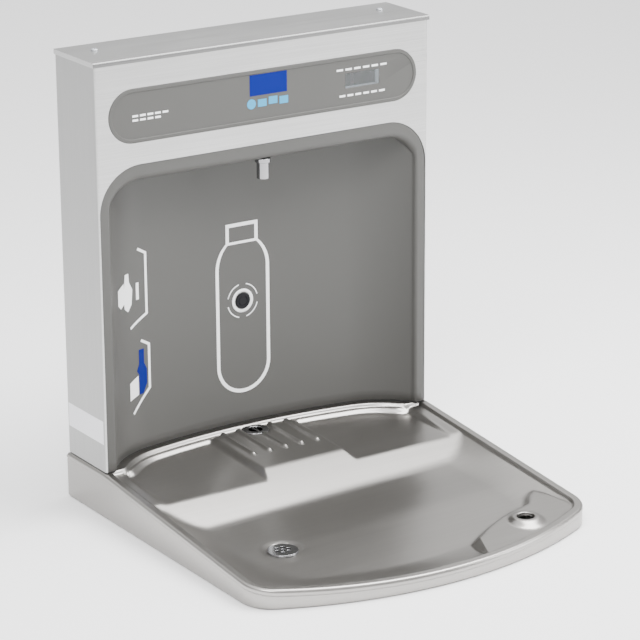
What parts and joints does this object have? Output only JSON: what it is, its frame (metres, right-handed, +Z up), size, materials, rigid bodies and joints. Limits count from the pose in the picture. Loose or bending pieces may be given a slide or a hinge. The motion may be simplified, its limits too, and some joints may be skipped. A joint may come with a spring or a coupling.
{
  "type": "bottle filling drinking fountain",
  "caption": "Wall-hung drinking fountain top: a stamped steel basin with a ribbed bottle deck and a shallow sensor-operated bottle-filling tower.",
  "frame": {"origin": "centre of the footprint, on the plane that the basin's skirt stands on", "axes": "+X to the user's right, front faces -Y, wall behind +Y, +Z up"},
  "size_m": [0.467, 0.483, 0.5534],
  "materials": {
    "stainless_basin": "satin stainless, brushed front to back",
    "stainless_tower": "brushed stainless, horizontal grain",
    "zinc_steel": "zinc plated steel",
    "grey_plastic": "fine-textured warm grey moulding",
    "black_rubber": "closed-cell foam and rubber",
    "white_print": "white screen print",
    "blue_print": "blue screen print",
    "cyan_print": "cyan screen print",
    "clear_window": "clear polycarbonate window",
    "lcd_grey": "grey liquid crystal display",
    "board_green": "solder-masked circuit board",
    "dark_plastic": "black moulded plastic",
    "red_plastic": "red button cap",
    "lens_black": "infrared-pass black lens",
    "white_plastic": "white acetal and polyethylene",
    "chrome": "polished chrome plate",
    "brass": "machined brass",
    "lead_black": "black PVC lead",
    "label_pale": "blank pale label"
  },
  "bodies": {
    "root": {"alcove_shell": "grey_plastic", "back_plate": "zinc_steel", "back_plate_screws": "zinc_steel", "basin": "stainless_basin", "board_screws": "zinc_steel", "bottle_outline": "white_print", "bowl_drain_body": "chrome", "bowl_drain_nut": "dark_plastic", "bowl_drain_strainer": "chrome", "bowl_drain_washer": "black_rubber", "coil_nut": "zinc_steel", "control_board": "board_green", "cover_screws": "zinc_steel", "deck_drain_body": "chrome", "deck_drain_grate": "chrome", "deck_drain_nut": "dark_plastic", "deck_drain_washer": "black_rubber", "display_lcd": "lcd_grey", "display_window": "clear_window", "inlet_coupling": "brass", "inlet_tube": "white_plastic", "nozzle": "chrome", "nozzle_coupling": "brass", "nozzle_nut": "white_plastic", "outlet_tube": "white_plastic", "pill_badge": "blue_print", "pill_bezel": "grey_plastic", "pill_dashes": "white_print", "pill_mark": "cyan_print", "power_lead": "lead_black", "power_supply": "dark_plastic", "power_supply_screws": "zinc_steel", "program_switch": "dark_plastic", "sensor_bezel": "white_plastic", "sensor_housing": "dark_plastic", "sensor_lead": "lead_black", "sensor_lens": "lens_black", "sensor_nut": "dark_plastic", "side_label": "label_pale", "sign_print_blue": "blue_print", "sign_prints_white": "white_print", "top_cover": "stainless_tower", "tower_base_plate": "zinc_steel", "tower_bolt_nuts": "zinc_steel", "tower_bolts": "zinc_steel", "tower_gasket": "black_rubber", "tower_wrapper": "stainless_tower", "tube_grommet": "black_rubber", "valve_body": "white_plastic", "valve_bonnet": "brass", "valve_bracket": "zinc_steel", "valve_bracket_screws": "zinc_steel", "valve_coil": "dark_plastic", "valve_lead": "lead_black", "valve_spring": "zinc_steel"},
    "valve_plunger": {"valve_plunger": "zinc_steel"},
    "program_button": {"program_button": "red_plastic"}
  },
  "joints": [
    {"name": "valve_plunger_lift", "type": "slide", "parent": "root", "child": "valve_plunger", "axis": [0, 0, 1], "range_m": [0, 0.0025], "stiffness_N_per_m": 400, "springref_m": -0.002, "deforming": ["valve_spring"]},
    {"name": "program_button_press", "type": "slide", "parent": "root", "child": "program_button", "axis": [0, -1, 0], "range_m": [0, 0.001], "stiffness_N_per_m": 300, "springref_m": -0.0005}
  ]
}
